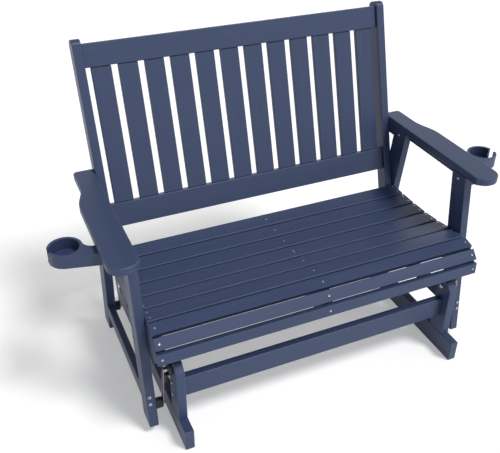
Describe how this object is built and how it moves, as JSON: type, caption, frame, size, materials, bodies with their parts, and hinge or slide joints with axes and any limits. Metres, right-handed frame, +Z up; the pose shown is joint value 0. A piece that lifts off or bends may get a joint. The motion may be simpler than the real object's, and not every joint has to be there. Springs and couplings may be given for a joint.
{
  "type": "patio glider bench",
  "caption": "Slatted patio glider bench with a reclined back, dished seat, wide arms and side cup holders, hung on swing links from a floor base so that it glides to and fro.",
  "frame": {"origin": "on the floor, under the middle of the bench's bounding box", "axes": "+Z up, +Y towards the back of the bench, +X to the right of someone who faces the bench"},
  "size_m": [1.5078, 0.7854, 1.0183],
  "materials": {
    "navy_board": "fine-grained satin",
    "black_plastic": "matte",
    "link_steel": "satin",
    "steel": "bright satin"
  },
  "bodies": {
    "base": {"base_bolts": "steel", "base_runner_left": "navy_board", "base_runner_right": "navy_board", "base_stretcher_front": "navy_board", "base_stretcher_rear": "navy_board", "base_upright_front_left": "navy_board", "base_upright_front_right": "navy_board", "base_upright_rear_left": "navy_board", "base_upright_rear_right": "navy_board", "bearing_discs": "black_plastic", "upper_pivot_bolts": "steel"},
    "swing_link_front_left": {"swing_link_front_left": "link_steel"},
    "swing_link_front_right": {"swing_link_front_right": "link_steel"},
    "swing_link_rear_left": {"swing_link_rear_left": "link_steel"},
    "swing_link_rear_right": {"swing_link_rear_right": "link_steel"},
    "chair": {"arm_cleats": "navy_board", "arm_rail_left": "navy_board", "arm_rail_right": "navy_board", "armrest_left": "navy_board", "armrest_right": "navy_board", "back_post_left": "navy_board", "back_post_right": "navy_board", "back_rail_bottom": "navy_board", "back_rail_top": "navy_board", "back_slat_01": "navy_board", "back_slat_02": "navy_board", "back_slat_03": "navy_board", "back_slat_04": "navy_board", "back_slat_05": "navy_board", "back_slat_06": "navy_board", "back_slat_07": "navy_board", "back_slat_08": "navy_board", "back_slat_09": "navy_board", "back_slat_10": "navy_board", "back_slat_11": "navy_board", "back_slat_12": "navy_board", "chair_bolts": "steel", "cup_holder_left": "navy_board", "cup_holder_right": "navy_board", "front_leg_left": "navy_board", "front_leg_right": "navy_board", "lower_pivot_pins": "steel", "lower_pivot_spacers": "black_plastic", "lower_rail_left": "navy_board", "lower_rail_right": "navy_board", "rear_leg_left": "navy_board", "rear_leg_right": "navy_board", "seat_centre_rail": "navy_board", "seat_screws": "steel", "seat_side_rail_left": "navy_board", "seat_side_rail_right": "navy_board", "seat_slat_1": "navy_board", "seat_slat_2": "navy_board", "seat_slat_3": "navy_board", "seat_slat_4": "navy_board", "seat_slat_5": "navy_board", "seat_slat_6": "navy_board", "seat_slat_7": "navy_board", "seat_slat_8": "navy_board", "seat_slat_9": "navy_board"}
  },
  "joints": [
    {"name": "front_left_swing", "type": "hinge", "parent": "base", "child": "swing_link_front_left", "pos_m": [-0.5155, -0.29339, 0.2535], "axis": [1, 0, 0], "range_deg": [-11, 11]},
    {"name": "front_right_swing", "type": "hinge", "parent": "base", "child": "swing_link_front_right", "pos_m": [0.5155, -0.29339, 0.2535], "axis": [1, 0, 0], "range_deg": [-11, 11]},
    {"name": "rear_left_swing", "type": "hinge", "parent": "base", "child": "swing_link_rear_left", "pos_m": [-0.5155, 0.26061, 0.2535], "axis": [1, 0, 0], "range_deg": [-11, 11]},
    {"name": "rear_right_swing", "type": "hinge", "parent": "base", "child": "swing_link_rear_right", "pos_m": [0.5155, 0.26061, 0.2535], "axis": [1, 0, 0], "range_deg": [-11, 11]},
    {"name": "chair_level", "type": "hinge", "parent": "swing_link_front_left", "child": "chair", "pos_m": [-0.5155, -0.26439, 0.095], "axis": [1, 0, 0], "range_deg": [-12, 12]}
  ],
  "couplings": [
    {"joint": "front_left_swing", "follows": "chair_level", "ratio": -0.89531},
    {"joint": "front_right_swing", "follows": "chair_level", "ratio": -0.89531},
    {"joint": "rear_left_swing", "follows": "chair_level", "ratio": -0.89531},
    {"joint": "rear_right_swing", "follows": "chair_level", "ratio": -0.89531}
  ]
}
